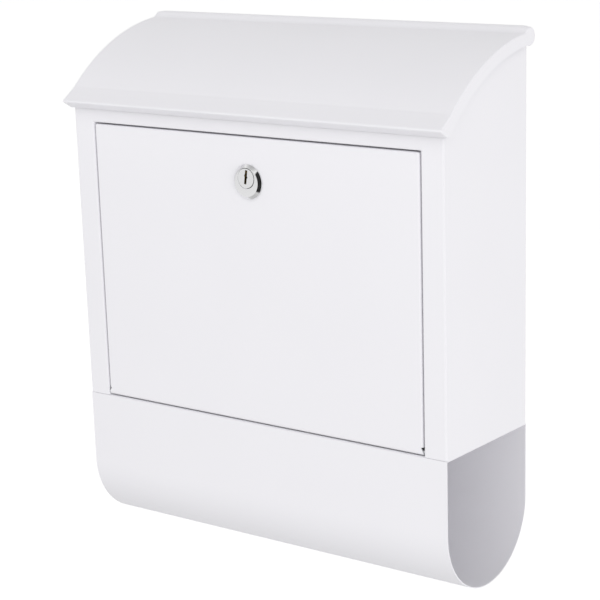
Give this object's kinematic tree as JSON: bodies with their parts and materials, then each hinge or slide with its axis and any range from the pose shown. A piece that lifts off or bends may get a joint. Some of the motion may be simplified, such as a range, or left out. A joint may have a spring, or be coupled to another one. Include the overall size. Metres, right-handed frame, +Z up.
{
  "type": "wall mailbox",
  "caption": "Wall-mounted steel mailbox with a hinged curved lid over the letter slot, a locking drop-down front door and an open newspaper tube below.",
  "frame": {"origin": "centre of the four wall-screw holes, on the wall plane", "axes": "+X to the right seen from the front, +Y into the wall, +Z up"},
  "size_m": [0.373, 0.1338, 0.4346],
  "materials": {
    "white_powder_coat": "smooth satin powder coat, white",
    "rivet_aluminium": "plain blind rivets",
    "hinge_steel": "zinc-plated steel",
    "spacer_plastic": "natural white nylon",
    "lock_chrome": "bright chrome-plated die casting",
    "zinc_steel": "zinc-plated steel",
    "wafer_brass": "stamped brass"
  },
  "bodies": {
    "box": {"body_wrap": "white_powder_coat", "back_panel": "white_powder_coat", "back_rivets_left": "rivet_aluminium", "back_rivets_right": "rivet_aluminium", "floor_panel": "white_powder_coat", "newspaper_tube": "white_powder_coat", "door_hinge_rod": "hinge_steel", "hinge_rod_clip_left": "hinge_steel", "hinge_rod_clip_right": "hinge_steel"},
    "lid": {"lid_panel": "white_powder_coat", "lid_pivot_pin_left": "hinge_steel", "lid_pivot_spacer_left": "spacer_plastic", "lid_pivot_clip_left": "hinge_steel", "lid_pivot_pin_right": "hinge_steel", "lid_pivot_spacer_right": "spacer_plastic", "lid_pivot_clip_right": "hinge_steel"},
    "door": {"door_panel": "white_powder_coat", "lock_housing": "lock_chrome", "lock_washer": "zinc_steel", "lock_nut": "zinc_steel"},
    "plug": {"lock_plug": "lock_chrome", "lock_wafers": "wafer_brass", "lock_cam": "zinc_steel", "cam_washer": "zinc_steel", "cam_screw": "zinc_steel"}
  },
  "joints": [
    {"name": "lid_hinge", "type": "hinge", "parent": "box", "child": "lid", "pos_m": [0, -0.0086, 0.1572], "axis": [-1, 0, 0], "range_deg": [0, 100]},
    {"name": "door_hinge", "type": "hinge", "parent": "box", "child": "door", "pos_m": [0, -0.12145, -0.14645], "axis": [1, 0, 0], "range_deg": [0, 110]},
    {"name": "lock_turn", "type": "hinge", "parent": "door", "child": "plug", "pos_m": [0, -0.127, 0.0514], "axis": [0, -1, 0], "range_deg": [0, 90]}
  ]
}
